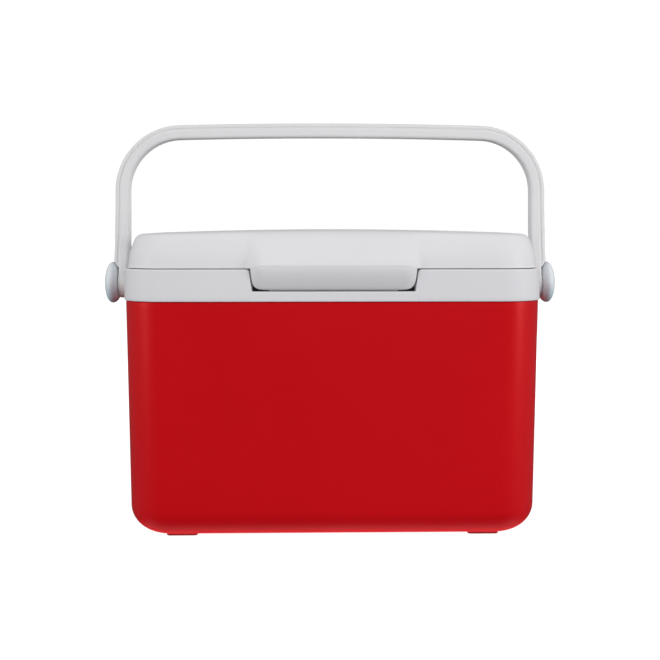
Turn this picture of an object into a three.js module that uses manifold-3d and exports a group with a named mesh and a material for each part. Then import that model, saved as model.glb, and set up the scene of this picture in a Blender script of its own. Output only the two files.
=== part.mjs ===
// Hand-carried hard cooler: a tapered insulated tub with a rim collar, a rear-hinged
// lid whose front lip drops into a notch in the collar, and a bail handle that swings
// on two mushroom-headed pivot knobs at the collar's ends.
//
// Millimetres. Origin: bottom centre of the footprint. +X to the right end, -Y front, +Z up.

import * as THREE from 'three';
import { mergeVertices } from 'three/addons/utils/BufferGeometryUtils.js';
import Module from 'manifold-3d';

// ---------------------------------------------------------------- driving dimensions
const GAP = 0.3;                  // between pieces that touch

// feet
const FOOT_H = 2.5;               // height under the tub
const FOOT_W = 28, FOOT_D = 24;   // pad size in X and Y
const FOOT_X = 137, FOOT_Y = 82;  // pad centres

// tub, outer shell
const SHELL_T = 2.6;
const SHELL_TOP = { a: 188.6, b: 123.4, z: 213.6 };     // half width, half depth just under the collar
const SHELL_BOT = { a: 184.4, b: 119.2 };               // the same at the foot of the drafted wall
const SHELL_RX = 29, SHELL_RY = 24, SHELL_RZ = 25;      // round along the bottom edge
const CORNER_R = 40;                                    // vertical corners
const RIM_STEP = 3.3, RIM_T = 3.0, RIM_TOP = 238;       // rim inside the collar, measured in from the collar's face

// collar
const COL = { a: 190, b: 125, z0: 214, z1: 242.5, wall: 3, flange: 3, land: 23 };
const NOTCH = { top: 74.6, bot: 72.4, floor: 223, depth: 8 };
const NOTCH_BLOCK = { hw: 79, y: 113.8, z: 219.8 };

// liner
const CAV = { a: 167.5, b: 102.5, z: 239.2, ba: 161.5, bb: 96.5, floor: 23, r: 24, corner: 26 };
const LINER_T = 2;

// lid
const SEAM = 243.5;               // underside of the lid's skirt
const LID = { a: 186.8, b: 123.2, crown: 3.5, wall: 2.4 };
// side of the lid from the skirt to the flat of the top: height, and how far it has drawn in
const LID_SIDE = [[243.5, 0], [252, 0.8], [258, 2], [263, 3.6], [267.5, 5.1], [270.5, 6.8], [272.6, 8.9], [273.7, 11.5], [274.2, 15], [274.4, 20]];
const PLUG = { a: 165.5, b: 100.5, z: 232 };
const LIP = { top: 73.6, bot: 71.2, edge: 224.2, front: 131.8 };

// rear hinges
const HINGE = { y: 127.2, z: 243, r: 4.6, pin: 2, x: 110, half: 20, knuckle: 8.5 };

// bail handle
const PIVOT_Z = 226;
const BAIL = { out: 213.9, flare: 214.9, mid: 209.4, inn: 200, top: 384.3, under: 370.3, crown: 2,
  ro: 65, ri: 51, depth: 17, strip: 14, stripEnd: 246.9 };
const EYE = { r: 15.4, x0: COL.a + 2.2, x1: 210.2, hole: 8.45 };
const KNOB = { r: 20.4, x0: 210.5, x1: 225.2, shaft: 8, end: COL.a - 7.5 };
const CLIP = { x0: COL.a - 4.6, x1: COL.a - 3.3, r: 11.2 };   // push-on ring behind the collar's wall
const WASHER = { x0: COL.a + 0.3, x1: COL.a + 1.9, r: 11.5 };

// ---------------------------------------------------------------- helpers
const wasm = await Module();
wasm.setup();

function solid(geometry) {
  const g = geometry.clone();
  g.deleteAttribute('normal');
  g.deleteAttribute('uv');
  const m = mergeVertices(g, 1e-4);
  const at = m.index.array, tris = [];
  for (let i = 0; i < at.length; i += 3) {
    if (at[i] !== at[i + 1] && at[i + 1] !== at[i + 2] && at[i] !== at[i + 2]) tris.push(at[i], at[i + 1], at[i + 2]);
  }
  return new wasm.Manifold(new wasm.Mesh({
    numProp: 3,
    vertProperties: Float32Array.from(m.attributes.position.array),
    triVerts: Uint32Array.from(tris),
  }));
}

function geometryOf(manifold) {
  const mesh = manifold.getMesh();
  const g = new THREE.BufferGeometry();
  g.setAttribute('position', new THREE.BufferAttribute(Float32Array.from(mesh.vertProperties), 3));
  g.setIndex(new THREE.BufferAttribute(Uint32Array.from(mesh.triVerts), 1));
  g.computeVertexNormals();
  return g;
}

const union = (...s) => s.reduce((a, b) => a.add(b));
const cut = (s, ...tools) => tools.reduce((a, b) => a.subtract(b), s);

// outline of a rectangle with round corners, with the long sides divided
function outline(a, b, r, seg = 6, along = 1, across = 1) {
  const pts = [];
  const corner = (cx, cy, from) => {
    for (let i = 0; i <= seg; i++) {
      const t = from + (i / seg) * Math.PI / 2;
      pts.push(new THREE.Vector2(cx + r * Math.cos(t), cy + r * Math.sin(t)));
    }
  };
  const between = (p, q, n) => {
    for (let i = 1; i < n; i++) pts.push(new THREE.Vector2().lerpVectors(p, q, i / n));
  };
  corner(a - r, b - r, 0);
  between(new THREE.Vector2(a - r, b), new THREE.Vector2(-a + r, b), along);
  corner(-a + r, b - r, Math.PI / 2);
  between(new THREE.Vector2(-a, b - r), new THREE.Vector2(-a, -b + r), across);
  corner(-a + r, -b + r, Math.PI);
  between(new THREE.Vector2(-a + r, -b), new THREE.Vector2(a - r, -b), along);
  corner(a - r, -b + r, Math.PI * 1.5);
  between(new THREE.Vector2(a, -b + r), new THREE.Vector2(a, b - r), across);
  return new THREE.Shape(pts);
}

// an extrusion of the outline whose rings are then moved to their own heights and sizes
function stack(shape, rings) {
  const n = rings.length;
  const g = new THREE.ExtrudeGeometry(shape, { depth: n - 1, steps: n - 1, bevelEnabled: false });
  const p = g.attributes.position;
  for (let i = 0; i < p.count; i++) {
    const ring = rings[Math.round(p.getZ(i))];
    const q = ring(p.getX(i), p.getY(i));
    p.setXYZ(i, q[0], q[1], q[2]);
  }
  return solid(g);
}
const ring = (a0, b0, a, b, z) => (x, y) => [x * a / a0, y * b / b0, z];

// a straight-sided ring-shaped or plain prism between two heights
function prism(a, b, r, z0, z1, seg = 6) {
  const g = new THREE.ExtrudeGeometry(outline(a, b, r, seg), { depth: z1 - z0, bevelEnabled: false });
  g.translate(0, 0, z0);
  return solid(g);
}

function box(x0, x1, y0, y1, z0, z1) {
  const g = new THREE.BoxGeometry(x1 - x0, y1 - y0, z1 - z0);
  g.translate((x0 + x1) / 2, (y0 + y1) / 2, (z0 + z1) / 2);
  return solid(g);
}

// cylinder along X
function rodX(x0, x1, y, z, r, seg = 24) {
  const g = new THREE.CylinderGeometry(r, r, x1 - x0, seg);
  g.rotateZ(-Math.PI / 2);
  g.translate((x0 + x1) / 2, y, z);
  return solid(g);
}

// a profile in the YZ plane, extruded along X
function alongX(points, x0, x1) {
  const g = new THREE.ExtrudeGeometry(new THREE.Shape(points.map((p) => new THREE.Vector2(p[0], p[1]))),
    { depth: x1 - x0, bevelEnabled: false });
  g.applyMatrix4(new THREE.Matrix4().makeBasis(
    new THREE.Vector3(0, 1, 0), new THREE.Vector3(0, 0, 1), new THREE.Vector3(1, 0, 0)));
  g.translate(x0, 0, 0);
  return solid(g);
}

// an outline in the XZ plane, extruded through the depth with a rounded edge
function throughY(points, depth, bevel) {
  const g = new THREE.ExtrudeGeometry(new THREE.Shape(points.map((p) => new THREE.Vector2(p[0], p[1]))), {
    depth: depth - 2 * bevel, bevelEnabled: bevel > 0, bevelThickness: bevel, bevelSize: bevel, bevelOffset: -bevel,
    bevelSegments: 2,
  });
  g.rotateX(Math.PI / 2);
  g.translate(0, depth / 2 - bevel, 0);
  return solid(g);
}

const mirrorX = (s) => s.mirror([1, 0, 0]);

const root = new THREE.Group();
root.name = 'hard_cooler';
function piece(name, manifold, colour, roughness) {
  const mesh = new THREE.Mesh(geometryOf(manifold),
    new THREE.MeshStandardMaterial({ color: colour, roughness, metalness: 0 }));
  mesh.name = name;
  root.add(mesh);
}

const RED = 0xb80f18, DARK_RED = 0x9a0a12, PALE = 0xd6d6d8, WHITE = 0xeeeeee, FOAM = 0xe9dfc4, GREY = 0x8d8f93, STEEL = 0xb5b8bc;

// ---------------------------------------------------------------- tub shell
// outer form: rounded bottom edge, then a drafted wall to just under the collar
function tubForm(inset, lift, top, extra = 0) {
  const T = SHELL_TOP, B = SHELL_BOT;
  const a0 = T.a, b0 = T.b;
  const rings = [];
  const n = 5;
  const zb = FOOT_H + lift;
  for (let i = 0; i <= n; i++) {
    const t = (i / n) * Math.PI / 2;
    const a = B.a - inset - (SHELL_RX - inset) * (1 - Math.sin(t));
    const b = B.b - inset - (SHELL_RY - inset) * (1 - Math.sin(t));
    rings.push(ring(a0, b0, a, b, zb + (SHELL_RZ - lift) * (1 - Math.cos(t))));
  }
  const k = (top - FOOT_H - SHELL_RZ) / (T.z - FOOT_H - SHELL_RZ);
  rings.push(ring(a0, b0, B.a + (T.a - B.a) * k - inset + extra, B.b + (T.b - B.b) * k - inset + extra, top));
  return stack(outline(a0, b0, CORNER_R - 1.6, 7), rings);
}

const pivotHole = (r, x0, x1, seg = 24) => union(rodX(x0, x1, 0, PIVOT_Z, r, seg), rodX(-x1, -x0, 0, PIVOT_Z, r, seg));
const hingeBoss = (grow) => {
  const one = box(HINGE.x - HINGE.half - 2 - grow, HINGE.x + HINGE.half + 2 + grow, 116.5 - grow, 126, 231.5 - grow, 239.6);
  return union(one, mirrorX(one));
};
const notchBlock = (grow) => box(-NOTCH_BLOCK.hw - grow, NOTCH_BLOCK.hw + grow, -126, -NOTCH_BLOCK.y + grow, NOTCH_BLOCK.z - grow, 240);

const rimOut = { a: COL.a - RIM_STEP, b: COL.b - RIM_STEP };
const rimIn = { a: rimOut.a - RIM_T, b: rimOut.b - RIM_T };
let shell = union(tubForm(0, 0, SHELL_TOP.z), prism(rimOut.a, rimOut.b, CORNER_R - RIM_STEP, SHELL_TOP.z - 3.5, RIM_TOP, 7));
shell = cut(shell,
  tubForm(SHELL_T, SHELL_T, SHELL_TOP.z - 3.4),
  prism(rimIn.a, rimIn.b, CORNER_R - RIM_STEP - RIM_T, SHELL_TOP.z - 3.5, RIM_TOP + 1, 7),
  pivotHole(12, 180, 192),
  hingeBoss(GAP), notchBlock(GAP));
piece('body_shell', shell, RED, 0.38);

// ---------------------------------------------------------------- feet
const footForm = () => {
  const g = new THREE.ExtrudeGeometry(outline(FOOT_W / 2, FOOT_D / 2, 3, 3),
    { depth: 8, bevelEnabled: true, bevelThickness: 0.6, bevelSize: 0.6, bevelOffset: -0.6, bevelSegments: 1 });
  g.translate(0, 0, 0.6);
  return solid(g);
};
const underTub = tubForm(0, 0, SHELL_TOP.z).translate([0, 0, -GAP]);
for (const [name, sx, sy] of [['foot_front_left', -1, -1], ['foot_front_right', 1, -1], ['foot_rear_left', -1, 1], ['foot_rear_right', 1, 1]]) {
  piece(name, cut(footForm().translate([sx * FOOT_X, sy * FOOT_Y, 0]), underTub), DARK_RED, 0.5);
}

// ---------------------------------------------------------------- collar
let collar = cut(prism(COL.a, COL.b, CORNER_R, COL.z0, COL.z1, 7),
  prism(COL.a - COL.wall, COL.b - COL.wall, CORNER_R - COL.wall, COL.z0 - 1, COL.z1 - COL.flange, 7),
  prism(COL.a - COL.land, COL.b - COL.land, CAV.corner, COL.z0, COL.z1 + 1, 6));
const withinCollar = prism(COL.a, COL.b, CORNER_R, COL.z0, COL.z1, 7);
collar = union(collar, notchBlock(0).intersect(withinCollar), hingeBoss(0).intersect(withinCollar));
// notch for the lid's lip: slightly narrower at its floor, open at the front and the top
const notchG = new THREE.ExtrudeGeometry(new THREE.Shape([
  [-NOTCH.bot, NOTCH.floor], [NOTCH.bot, NOTCH.floor], [NOTCH.top - 0.5, COL.z1 - 3], [NOTCH.top + 2.5, COL.z1 + 0.1], [NOTCH.top + 2.5, COL.z1 + 1],
  [-NOTCH.top - 2.5, COL.z1 + 1], [-NOTCH.top - 2.5, COL.z1 + 0.1], [-NOTCH.top + 0.5, COL.z1 - 3],
].map((p) => new THREE.Vector2(...p))), { depth: NOTCH.depth + 2, bevelEnabled: false });
notchG.rotateX(Math.PI / 2);
notchG.translate(0, -COL.b + NOTCH.depth, 0);
// hinge lugs, two to a hinge, on the collar's rear edge
const lug = (x0, x1) => union(rodX(x0, x1, HINGE.y, HINGE.z, HINGE.r, 20), box(x0, x1, 122, HINGE.y, 236, HINGE.z),
  alongX([[124.5, 232.5], [HINGE.y + HINGE.r * 0.94, HINGE.z - 1.5], [HINGE.y, HINGE.z], [124.5, HINGE.z]], x0, x1));
const lugs = [[HINGE.x - HINGE.half, HINGE.x - HINGE.knuckle - 0.5], [HINGE.x + HINGE.knuckle + 0.5, HINGE.x + HINGE.half]]
  .map(([p, q]) => lug(p, q));
collar = union(collar, ...lugs, ...lugs.map(mirrorX));
const knuckleRoom = rodX(HINGE.x - HINGE.knuckle - 0.5, HINGE.x + HINGE.knuckle + 0.5, HINGE.y, HINGE.z, HINGE.r + 0.8, 24);
const pinHole = rodX(HINGE.x - 30, HINGE.x + 30, HINGE.y, HINGE.z, HINGE.pin + 0.35, 16);
collar = cut(collar, solid(notchG), knuckleRoom, mirrorX(knuckleRoom), pinHole, mirrorX(pinHole),
  pivotHole(EYE.hole, 180, 192));
piece('collar', collar, PALE, 0.42);

// ---------------------------------------------------------------- liner
function cavityForm(grow, drop, top) {
  const a0 = CAV.a, b0 = CAV.b, rings = [], n = 4;
  for (let i = 0; i <= n; i++) {
    const t = (i / n) * Math.PI / 2;
    const w = (CAV.r + grow) * (1 - Math.sin(t));
    rings.push(ring(a0, b0, CAV.ba + grow - w, CAV.bb + grow - w, CAV.floor - drop + (CAV.r + drop) * (1 - Math.cos(t))));
  }
  rings.push(ring(a0, b0, CAV.a + grow, CAV.b + grow, top));
  return stack(outline(a0, b0, CAV.corner, 6), rings);
}
let liner = union(cavityForm(LINER_T, LINER_T, CAV.z), prism(176.5, 111.5, CAV.corner + 9, CAV.z - 2.2, CAV.z, 6));
liner = cut(liner, cavityForm(0, 0, CAV.z + 0.01));
liner = cut(liner, notchBlock(GAP));
piece('inner_liner', liner, WHITE, 0.4);

// ---------------------------------------------------------------- insulation of the tub
const pourTop = CAV.z - 2.2 - GAP;
let foam = union(tubForm(SHELL_T + GAP, SHELL_T + GAP, SHELL_TOP.z - 3.8),
  prism(rimIn.a - GAP, rimIn.b - GAP, CORNER_R - RIM_STEP - RIM_T - GAP, SHELL_TOP.z - 4, pourTop, 7));
foam = cut(foam, cavityForm(LINER_T + GAP, LINER_T + GAP, CAV.z + 5), pivotHole(12, KNOB.end - 1, 192),
  hingeBoss(GAP), notchBlock(GAP));
piece('body_insulation', foam, FOAM, 0.9);

// ---------------------------------------------------------------- lid
function lidForm(inset, z0, drop) {
  const a0 = LID.a, b0 = LID.b, last = LID_SIDE.length - 1;
  const crown = (x) => LID.crown * (1 - Math.min(Math.abs(x) / 168, 1) ** 1.8);
  const level = (a, b, z, w) => (x, y) => {
    const X = x * a / a0, Y = y * b / b0;
    return [X, Y, z + w * crown(X)];
  };
  let d0 = 0;
  for (let i = 1; i < LID_SIDE.length; i++) {
    const [za, da] = LID_SIDE[i - 1], [zb, db] = LID_SIDE[i];
    if (z0 > za && z0 <= zb) d0 = da + (db - da) * (z0 - za) / (zb - za);
  }
  const rings = [level(a0 - inset - d0, b0 - inset - d0, z0, 0)];
  LID_SIDE.forEach(([z, d], i) => {
    const w = Math.max(0, (i - 2) / (last - 2));
    const low = z - drop * Math.min(1, Math.max(0, (z - 261) / 10));
    if (low > z0 + 0.5) rings.push(level(a0 - inset - d, b0 - inset - d, low, w ** 1.5));
  });
  const [zt, dt] = LID_SIDE[last];
  rings.push(level(a0 - inset - dt - 30, b0 - inset - dt - 30, zt + 0.25 - drop, 1));
  rings.push(level(a0 - inset - dt - 76, b0 - inset - dt - 76, zt + 0.4 - drop, 1));
  return stack(outline(a0, b0, CORNER_R - 2, 6, 8, 2), rings);
}
// front lip: swells out of the lid's front face, turns under, and ends just above the notch floor
const F = LIP.front;
const lipProfile = [[-109, 273.4], [-115.8, 270.6], [-120.6, 264.5], [-F + 4.6, 255], [-F + 1.4, 249], [-F, 244.5], [-F + 0.5, 240], [-F + 2.2, 234],
  [-F + 4.8, 228.5], [-F + 7.2, 225.2], [-F + 9, LIP.edge], [-119.2, LIP.edge], [-118, 225.4], [-118, 244], [-104, 250], [-104, 270]];
let lip = alongX(lipProfile.slice().reverse(), -LIP.top - 6, LIP.top + 6);
const lipPlan = new THREE.Shape([
  [-LIP.top - 5, 276], [-LIP.top - 1.5, 262], [-LIP.top, 246], [-LIP.top, 243], [-LIP.bot - 1.4, 237], [-LIP.bot - 0.6, 232], [-LIP.bot + 1.2, 228.5], [-LIP.bot + 4.5, 226], [-LIP.bot + 10, 224.6], [-LIP.bot + 14, 223],
  [LIP.bot - 14, 223], [LIP.bot - 10, 224.6], [LIP.bot - 4.5, 226], [LIP.bot - 1.2, 228.5], [LIP.bot + 0.6, 232], [LIP.bot + 1.4, 237], [LIP.top, 243], [LIP.top, 246], [LIP.top + 1.5, 262], [LIP.top + 5, 276],
].map((p) => new THREE.Vector2(...p)));
const lipPlanG = new THREE.ExtrudeGeometry(lipPlan, { depth: 40, bevelEnabled: false });
lipPlanG.rotateX(Math.PI / 2);
lipPlanG.translate(0, -100, 0);
lip = lip.intersect(solid(lipPlanG));
let lidShell = union(lidForm(0, SEAM, 0), lip);
lidShell = cut(lidShell, lidForm(LID.wall, SEAM - 1, LID.wall));
const knuckle = union(rodX(HINGE.x - HINGE.knuckle, HINGE.x + HINGE.knuckle, HINGE.y, HINGE.z, HINGE.r, 20),
  alongX([[121.6, 243.6], [HINGE.y, 243.6], [HINGE.y, HINGE.z + HINGE.r], [121.6, 250.5]], HINGE.x - HINGE.knuckle, HINGE.x + HINGE.knuckle));
lidShell = union(lidShell, knuckle, mirrorX(knuckle));
const lugRoom = [[HINGE.x - HINGE.half - 0.6, HINGE.x - HINGE.knuckle], [HINGE.x + HINGE.knuckle, HINGE.x + HINGE.half + 0.6]]
  .map(([p, q]) => rodX(p, q, HINGE.y, HINGE.z, HINGE.r + 0.8, 24));
lidShell = cut(lidShell, ...lugRoom, ...lugRoom.map(mirrorX), pinHole, mirrorX(pinHole));
piece('lid_shell', lidShell, PALE, 0.42);

const plateTop = SEAM + 2.5;
let lidLiner = union(
  prism(LID.a - LID.wall - 0.9, LID.b - LID.wall - 0.9, CORNER_R - 2, SEAM + GAP, plateTop, 6),
  prism(PLUG.a, PLUG.b, CAV.corner - 2, PLUG.z, SEAM + 1, 6));
lidLiner = cut(lidLiner, prism(PLUG.a - 2, PLUG.b - 2, CAV.corner - 4, PLUG.z + 2, plateTop + 1, 6), ...lugRoom, ...lugRoom.map(mirrorX));
piece('lid_liner', lidLiner, WHITE, 0.4);

const lidFoam = union(lidForm(LID.wall + GAP, plateTop + GAP, LID.wall + GAP),
  prism(PLUG.a - 2 - GAP, PLUG.b - 2 - GAP, CAV.corner - 4 - GAP, PLUG.z + 2 + GAP, plateTop + 2, 6));
piece('lid_insulation', lidFoam, FOAM, 0.9);

// ---------------------------------------------------------------- hinge pins
const pin = rodX(HINGE.x - HINGE.half, HINGE.x + HINGE.half, HINGE.y, HINGE.z, HINGE.pin, 16);
piece('hinge_pin_left', mirrorX(pin), STEEL, 0.3);
piece('hinge_pin_right', pin, STEEL, 0.3);

// ---------------------------------------------------------------- bail handle
const arcPts = (cx, cz, r, t0, t1, n) => Array.from({ length: n + 1 }, (_, i) => {
  const t = t0 + (t1 - t0) * i / n;
  return [cx + r * Math.cos(t), cz + r * Math.sin(t)];
});
function bailEdge(x, flare, zLow, zTop, r, n) {
  // from the foot of the right leg up, round the corner and along half the crossbar
  const cz = zTop - BAIL.crown - r;
  return [[flare, zLow], [x, 300], ...arcPts(x - r, cz, r, 0, Math.PI / 2, n), [80, zTop - BAIL.crown * 0.3]];
}
const both = (edge, middle) => [...edge, middle, ...edge.slice().reverse().map(([x, z]) => [-x, z])];
const outerEdge = both(bailEdge(BAIL.out, BAIL.flare, BAIL.stripEnd, BAIL.top, BAIL.ro, 8), [0, BAIL.top]);
const midEdgeStrip = both(bailEdge(BAIL.mid - 1, BAIL.mid - 1, BAIL.stripEnd, BAIL.top - 4.5, BAIL.ro - 4.5, 8), [0, BAIL.top - 4.5]);
const midEdge = both(bailEdge(BAIL.mid, BAIL.mid, PIVOT_Z, BAIL.top - 3.5, BAIL.ro - 3.5, 8), [0, BAIL.top - 3.5]);
const innerEdge = both(bailEdge(BAIL.inn, BAIL.inn, PIVOT_Z, BAIL.under, BAIL.ri, 7), [0, BAIL.under]);
const eye = rodX(EYE.x0, EYE.x1, 0, PIVOT_Z, EYE.r, 28);
const shoulder = alongX([[-BAIL.depth / 2, 262], [-EYE.r * 0.93, PIVOT_Z + 6], [-EYE.r, PIVOT_Z], [EYE.r, PIVOT_Z], [EYE.r * 0.93, PIVOT_Z + 6], [BAIL.depth / 2, 262]], BAIL.inn, BAIL.mid);
let bail = union(
  throughY([...midEdge, ...innerEdge.slice().reverse()], BAIL.depth, 2.2),
  throughY([...outerEdge, ...midEdgeStrip.slice().reverse()], BAIL.strip, 0.8),
  eye, mirrorX(eye), shoulder, mirrorX(shoulder));
bail = cut(bail, pivotHole(EYE.hole, 188, 216));
piece('handle', bail, PALE, 0.42);

// ---------------------------------------------------------------- pivots
const knobProfile = [[0, KNOB.end], [7.4, KNOB.end], [KNOB.shaft, KNOB.end + 0.7], [KNOB.shaft, CLIP.x0 - 0.3], [6.5, CLIP.x0 - 0.3], [6.5, CLIP.x1 + 0.3], [KNOB.shaft, CLIP.x1 + 0.3],
  [KNOB.shaft, KNOB.x0], [14.6, KNOB.x0], [17.4, 211.9], [19.3, 213.6], [20.3, 215.8], [KNOB.r, 217.2], [20.1, 218.8], [18.9, 220.8], [16.6, 222.5], [12.6, 224], [7.5, 224.85], [3.5, 225.15], [0, KNOB.x1]];
const knobG = new THREE.LatheGeometry(knobProfile.map((p) => new THREE.Vector2(p[0], p[1])), 28);
knobG.rotateZ(-Math.PI / 2);
knobG.translate(0, 0, PIVOT_Z);
const knob = solid(knobG);
const washer = cut(rodX(WASHER.x0, WASHER.x1, 0, PIVOT_Z, WASHER.r, 24), rodX(WASHER.x0 - 1, WASHER.x1 + 1, 0, PIVOT_Z, EYE.hole, 24));
const clip = cut(rodX(CLIP.x0, CLIP.x1, 0, PIVOT_Z, CLIP.r, 20), rodX(CLIP.x0 - 1, CLIP.x1 + 1, 0, PIVOT_Z, 6.85, 20));
piece('pivot_knob_left', mirrorX(knob), PALE, 0.42);
piece('pivot_knob_right', knob, PALE, 0.42);
piece('pivot_washer_left', mirrorX(washer), GREY, 0.5);
piece('pivot_washer_right', washer, GREY, 0.5);
piece('pivot_clip_left', mirrorX(clip), STEEL, 0.3);
piece('pivot_clip_right', clip, STEEL, 0.3);

export default root;
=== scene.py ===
"""Looks of the hand-carried hard cooler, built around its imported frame.

Every mesh is written in the frame's own axes: millimetres here, metres in Blender,
+X to the right end, -Y to the front, +Z up, origin at the bottom centre.
"""

import math

import bmesh
import bpy
import numpy as np
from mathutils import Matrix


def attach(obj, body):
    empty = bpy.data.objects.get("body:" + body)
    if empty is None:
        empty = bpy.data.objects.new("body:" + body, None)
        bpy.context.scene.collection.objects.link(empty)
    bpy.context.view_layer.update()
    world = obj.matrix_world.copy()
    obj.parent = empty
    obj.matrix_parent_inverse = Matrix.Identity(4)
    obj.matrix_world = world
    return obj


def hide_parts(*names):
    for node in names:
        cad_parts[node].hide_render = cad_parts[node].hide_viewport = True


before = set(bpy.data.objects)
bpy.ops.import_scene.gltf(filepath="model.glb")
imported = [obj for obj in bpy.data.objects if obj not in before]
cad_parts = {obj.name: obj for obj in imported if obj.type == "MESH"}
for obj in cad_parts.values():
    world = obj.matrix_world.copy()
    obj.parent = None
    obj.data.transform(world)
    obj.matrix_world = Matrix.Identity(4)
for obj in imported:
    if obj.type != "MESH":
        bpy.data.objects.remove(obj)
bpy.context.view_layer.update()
MM = 0.001
scene = bpy.context.scene

# ------------------------------------------------------------------ camera
AZ = math.radians(-1.267)
DIST = 1.0153
cam_data = bpy.data.cameras.new("camera")
cam = bpy.data.objects.new("camera", cam_data)
scene.collection.objects.link(cam)
cam.location = (DIST * math.sin(AZ), -DIST * math.cos(AZ), 0.2711)
cam.rotation_euler = (math.pi / 2, 0, AZ)
cam_data.sensor_width = 36
cam_data.lens = 36 * 1012.3 / 660
cam_data.shift_x = 0.5 - 330.75 / 660
cam_data.shift_y = 236.9 / 660 - 0.5
cam_data.clip_start = 0.02
scene.camera = cam


# ------------------------------------------------------------------ curves and meshes
def smooth_curve(points):
    """A monotone cubic through the points, as a function of their first number."""
    p = np.array(sorted(points), float)
    x, y = p[:, 0], p[:, 1]
    h = np.diff(x)
    s = np.diff(y) / h
    m = np.zeros(len(x))
    m[0], m[-1] = s[0], s[-1]
    for i in range(1, len(x) - 1):
        if s[i - 1] * s[i] > 0:
            w1, w2 = 2 * h[i] + h[i - 1], h[i] + 2 * h[i - 1]
            m[i] = (w1 + w2) / (w1 / s[i - 1] + w2 / s[i])

    def at(v):
        v = min(max(v, x[0]), x[-1])
        i = min(max(int(np.searchsorted(x, v)) - 1, 0), len(h) - 1)
        t = (v - x[i]) / h[i]
        return float(
            (2 * t**3 - 3 * t**2 + 1) * y[i]
            + (t**3 - 2 * t**2 + t) * h[i] * m[i]
            + (-2 * t**3 + 3 * t**2) * y[i + 1]
            + (t**3 - t**2) * h[i] * m[i + 1]
        )

    return at


def mirrored(values):
    """0 and the positive numbers given, with their negatives, in rising order."""
    return sorted({-v for v in values} | set(values))


class Plan:
    """Stations round a rectangle with round corners, anticlockwise from the front left."""

    def __init__(self, front, side, back, seg, cx, cy):
        self.front, self.side = list(front), sorted(side)
        self.back = sorted(back, reverse=True)
        self.seg, self.cx, self.cy = seg, cx, cy
        self.n_front = len(self.front)
        self.back_at = self.n_front + seg + 1 + len(self.side) + seg + 1

    def ring(self, a, b, r, z):
        r = max(r, 0.5)
        cx, cy = a - r, b - r
        kx, ky = cx / self.cx, cy / self.cy
        out = [(x * kx, -b) for x in self.front]

        def corner(sx, sy, t0):
            for i in range(self.seg + 1):
                t = math.radians(t0 + 90 * i / self.seg)
                out.append((sx * cx + r * math.cos(t), sy * cy + r * math.sin(t)))

        corner(1, -1, -90)
        out.extend((a, y * ky) for y in self.side)
        corner(1, 1, 0)
        out.extend((x * kx, b) for x in self.back)
        corner(-1, 1, 90)
        out.extend((-a, y * ky) for y in reversed(self.side))
        corner(-1, -1, 180)
        return np.array([(x, y, z) for x, y in out], float)


def skin(rows, wrap=False, closed=True):
    """Quads between closed rows, with a fan over the first and the last unless the rows wrap round."""
    n, m = len(rows), len(rows[0])
    verts = [tuple(v) for row in rows for v in row]
    faces = []
    for i in range(n if wrap else n - 1):
        p, q = i * m, ((i + 1) % n) * m
        for j in range(m if closed else m - 1):
            k = (j + 1) % m
            faces.append((p + j, p + k, q + k, q + j))
    if not wrap:
        for row, at, flip in ((rows[0], 0, True), (rows[-1], (n - 1) * m, False)):
            c = len(verts)
            verts.append(tuple(np.mean(row, axis=0)))
            for j in range(m):
                k = (j + 1) % m
                faces.append((at + k, at + j, c) if flip else (at + j, at + k, c))
    return verts, faces


def lathe_x(profile, sign=1, seg=72, z0=226.0, loop=False):
    """A profile of (radius, x) turned about the X axis at height z0. loop joins its two ends."""
    rows = []
    for r, x in profile:
        rows.append(
            [
                (
                    sign * x,
                    r * math.sin(2 * math.pi * i / seg),
                    z0 + r * math.cos(2 * math.pi * i / seg),
                )
                for i in range(seg)
            ]
        )
    return skin(rows, wrap=loop)


def merge(*parts):
    verts, faces = [], []
    for v, f in parts:
        n = len(verts)
        verts.extend(v)
        faces.extend(tuple(i + n for i in t) for t in f)
    return verts, faces


def extrude_x(profile, x0, x1, bevel=0.45):
    """A closed outline in Y and Z, pushed along X, with its two end edges rounded."""
    p = np.array(profile, float)
    c = p.mean(axis=0)

    def inset(d):
        q = []
        n = len(p)
        for i in range(n):
            t = p[(i + 1) % n] - p[i - 1]
            nrm = np.array([-t[1], t[0]])
            nrm /= max(np.linalg.norm(nrm), 1e-9)
            q.append(p[i] + nrm * d)
        return q

    steps = [(bevel, 0), (bevel * 0.3, bevel * 0.3), (0, bevel)]
    rows = [[(x0 + e, y, z) for y, z in inset(d)] for d, e in steps]
    rows += [[(x1 - e, y, z) for y, z in inset(d)] for d, e in reversed(steps)]
    return skin(rows)


def build(name, geometry, body, replaces, material, sharp=38):
    verts, faces = geometry
    mesh = bpy.data.meshes.new(name)
    mesh.from_pydata([(x * MM, y * MM, z * MM) for x, y, z in verts], [], faces)
    bm = bmesh.new()
    bm.from_mesh(mesh)
    bmesh.ops.remove_doubles(bm, verts=bm.verts, dist=2e-6)
    bmesh.ops.dissolve_degenerate(bm, edges=bm.edges, dist=1e-6)
    bmesh.ops.recalc_face_normals(bm, faces=bm.faces)
    bm.to_mesh(mesh)
    bm.free()
    obj = bpy.data.objects.new(name, mesh)
    scene.collection.objects.link(obj)
    finish_mesh(obj, sharp)
    obj.data.materials.append(material)
    if body:
        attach(obj, body)
    if replaces:
        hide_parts(*replaces)
    return obj


def finish_mesh(obj, sharp):
    mesh = obj.data
    mesh.polygons.foreach_set("use_smooth", [True] * len(mesh.polygons))
    mesh.set_sharp_from_angle(angle=math.radians(sharp))
    mesh.update()


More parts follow.
